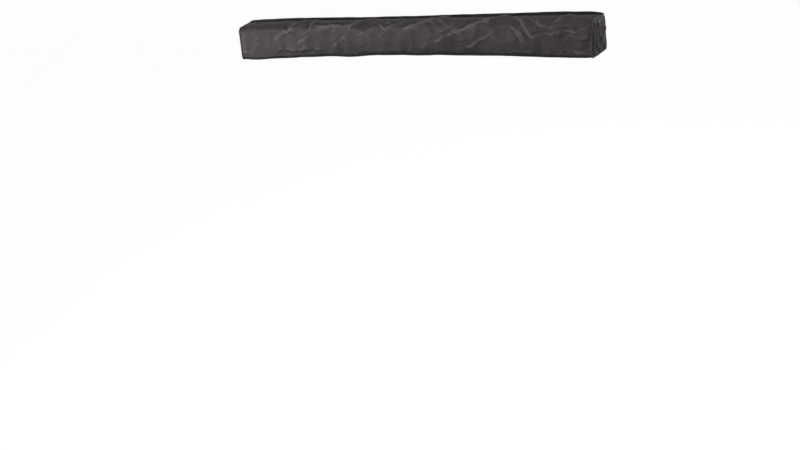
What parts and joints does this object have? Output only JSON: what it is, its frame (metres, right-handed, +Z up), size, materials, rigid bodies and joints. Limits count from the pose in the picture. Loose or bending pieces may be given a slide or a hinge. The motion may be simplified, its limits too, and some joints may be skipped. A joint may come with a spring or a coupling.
{
  "type": "vehicle side awning",
  "caption": "Side awning for roof bars: back rail, telescopic arms and legs, lead bar and rolled canopy, closed in a long fabric travel cover.",
  "frame": {"origin": "on the surface that the bracket feet and the cover rest on, under the middle of the whole", "axes": "+X along the awning towards the vehicle's rear, -Y away from the vehicle, +Z up"},
  "size_m": [2.0306, 0.2146, 0.1727],
  "materials": {
    "cover_cloth": "coated black polyester, slightly sheened",
    "canopy_cloth": "grey ripstop, matt",
    "anodised_aluminium": "satin anodised extrusion and tube",
    "powder_coat": "black powder coat on pressed steel",
    "zinc_steel": "zinc plated",
    "black_plastic": "moulded glass-filled nylon",
    "webbing": "woven hook-and-loop strap",
    "rubber": "moulded rubber"
  },
  "bodies": {
    "rail": {"back_rail": "anodised_aluminium", "rail_end_cap_left": "black_plastic", "rail_end_cap_right": "black_plastic", "canopy_bead": "canopy_cloth", "canopy_panel": "canopy_cloth", "rear_flange": "cover_cloth", "zip_chain": "black_plastic", "mount_bracket_left": "powder_coat", "mount_bracket_right": "powder_coat", "bracket_bolt_left_1": "zinc_steel", "bracket_nut_left_1": "zinc_steel", "bracket_bolt_left_2": "zinc_steel", "bracket_nut_left_2": "zinc_steel", "bracket_bolt_right_1": "zinc_steel", "bracket_nut_right_1": "zinc_steel", "bracket_bolt_right_2": "zinc_steel", "bracket_nut_right_2": "zinc_steel", "left_arm_clevis": "powder_coat", "left_arm_pin": "zinc_steel", "right_arm_clevis": "powder_coat", "right_arm_pin": "zinc_steel"},
    "zip_runner": {"zip_slider": "black_plastic", "zip_pull": "black_plastic"},
    "cover": {"cover_wrap": "cover_cloth", "cover_end_left": "cover_cloth", "cover_end_right": "cover_cloth"},
    "bar": {"lead_bar": "anodised_aluminium", "lead_bar_cap_left": "black_plastic", "lead_bar_cap_right": "black_plastic", "canopy_hem_bead": "canopy_cloth", "canopy_roll": "canopy_cloth", "roll_strap_1": "webbing", "roll_strap_2": "webbing", "roll_strap_3": "webbing", "left_leg_clevis": "powder_coat", "left_leg_pin": "zinc_steel", "right_leg_clevis": "powder_coat", "right_leg_pin": "zinc_steel"},
    "left_arm": {"left_arm_knuckle": "black_plastic", "left_arm_outer_tube": "anodised_aluminium"},
    "left_arm_collar": {"left_arm_twist_collar": "black_plastic"},
    "left_arm_extension": {"left_arm_inner_tube": "anodised_aluminium", "left_arm_tip": "black_plastic"},
    "left_leg": {"left_leg_knuckle": "black_plastic", "left_leg_outer_tube": "anodised_aluminium"},
    "left_leg_collar": {"left_leg_twist_collar": "black_plastic"},
    "left_leg_extension": {"left_leg_inner_tube": "anodised_aluminium", "left_leg_foot": "rubber"},
    "right_arm": {"right_arm_knuckle": "black_plastic", "right_arm_outer_tube": "anodised_aluminium"},
    "right_arm_collar": {"right_arm_twist_collar": "black_plastic"},
    "right_arm_extension": {"right_arm_inner_tube": "anodised_aluminium", "right_arm_tip": "black_plastic"},
    "right_leg": {"right_leg_knuckle": "black_plastic", "right_leg_outer_tube": "anodised_aluminium"},
    "right_leg_collar": {"right_leg_twist_collar": "black_plastic"},
    "right_leg_extension": {"right_leg_inner_tube": "anodised_aluminium", "right_leg_foot": "rubber"}
  },
  "joints": [
    {"name": "lead_bar_pull", "type": "slide", "parent": "rail", "child": "bar", "axis": [0, -1, 0], "range_m": [0, 1.985]},
    {"name": "left_arm_swing", "type": "hinge", "parent": "rail", "child": "left_arm", "pos_m": [-0.975, -0.0117, 0.0206], "axis": [0, 0, 1], "range_deg": [-90.1, 0]},
    {"name": "left_arm_extend", "type": "slide", "parent": "left_arm", "child": "left_arm_extension", "axis": [1, 0, 0], "range_m": [0, 0.9001]},
    {"name": "left_arm_collar_twist", "type": "hinge", "parent": "left_arm", "child": "left_arm_collar", "pos_m": [0.08, -0.0117, 0.0206], "axis": [1, 0, 0], "range_deg": [0, 90]},
    {"name": "right_arm_swing", "type": "hinge", "parent": "rail", "child": "right_arm", "pos_m": [0.975, -0.0117, 0.0506], "axis": [0, 0, 1], "range_deg": [0, 90.1]},
    {"name": "right_arm_extend", "type": "slide", "parent": "right_arm", "child": "right_arm_extension", "axis": [-1, 0, 0], "range_m": [0, 0.9001]},
    {"name": "right_arm_collar_twist", "type": "hinge", "parent": "right_arm", "child": "right_arm_collar", "pos_m": [-0.08, -0.0117, 0.0506], "axis": [-1, 0, 0], "range_deg": [0, 90]},
    {"name": "left_leg_fold", "type": "hinge", "parent": "bar", "child": "left_leg", "pos_m": [-0.975, -0.0883, 0.0163], "axis": [0, 1, 0], "range_deg": [0, 90.1]},
    {"name": "left_leg_extend", "type": "slide", "parent": "left_leg", "child": "left_leg_extension", "axis": [1, 0, 0], "range_m": [0, 0.9001]},
    {"name": "left_leg_collar_twist", "type": "hinge", "parent": "left_leg", "child": "left_leg_collar", "pos_m": [0.08, -0.0883, 0.0163], "axis": [1, 0, 0], "range_deg": [0, 90]},
    {"name": "right_leg_fold", "type": "hinge", "parent": "bar", "child": "right_leg", "pos_m": [0.975, -0.0583, 0.0163], "axis": [0, 1, 0], "range_deg": [-90.1, 0]},
    {"name": "right_leg_extend", "type": "slide", "parent": "right_leg", "child": "right_leg_extension", "axis": [-1, 0, 0], "range_m": [0, 0.9001]},
    {"name": "right_leg_collar_twist", "type": "hinge", "parent": "right_leg", "child": "right_leg_collar", "pos_m": [-0.08, -0.0583, 0.0163], "axis": [-1, 0, 0], "range_deg": [0, 90]},
    {"name": "cover_drop", "type": "hinge", "parent": "rail", "child": "cover", "pos_m": [0, 0.0143, 0.005], "axis": [1, 0, 0], "range_deg": [0, 90.1], "deforming": ["cover_wrap", "cover_end_left", "cover_end_right"]},
    {"name": "zip_run", "type": "slide", "parent": "rail", "child": "zip_runner", "axis": [-1, 0, 0], "range_m": [0, 1.93]}
  ],
  "couplings": [
    {"joint": "left_arm_swing", "follows": "lead_bar_pull", "rad_per_m": -0.79133},
    {"joint": "left_arm_extend", "follows": "lead_bar_pull", "ratio": 0.4534},
    {"joint": "right_arm_swing", "follows": "lead_bar_pull", "rad_per_m": 0.79133},
    {"joint": "right_arm_extend", "follows": "lead_bar_pull", "ratio": 0.4534},
    {"joint": "left_leg_fold", "follows": "lead_bar_pull", "rad_per_m": 0.79133},
    {"joint": "left_leg_extend", "follows": "lead_bar_pull", "ratio": 0.4534},
    {"joint": "right_leg_fold", "follows": "lead_bar_pull", "rad_per_m": -0.79133},
    {"joint": "right_leg_extend", "follows": "lead_bar_pull", "ratio": 0.4534},
    {"joint": "cover_drop", "follows": "lead_bar_pull", "rad_per_m": 0.79133}
  ]
}
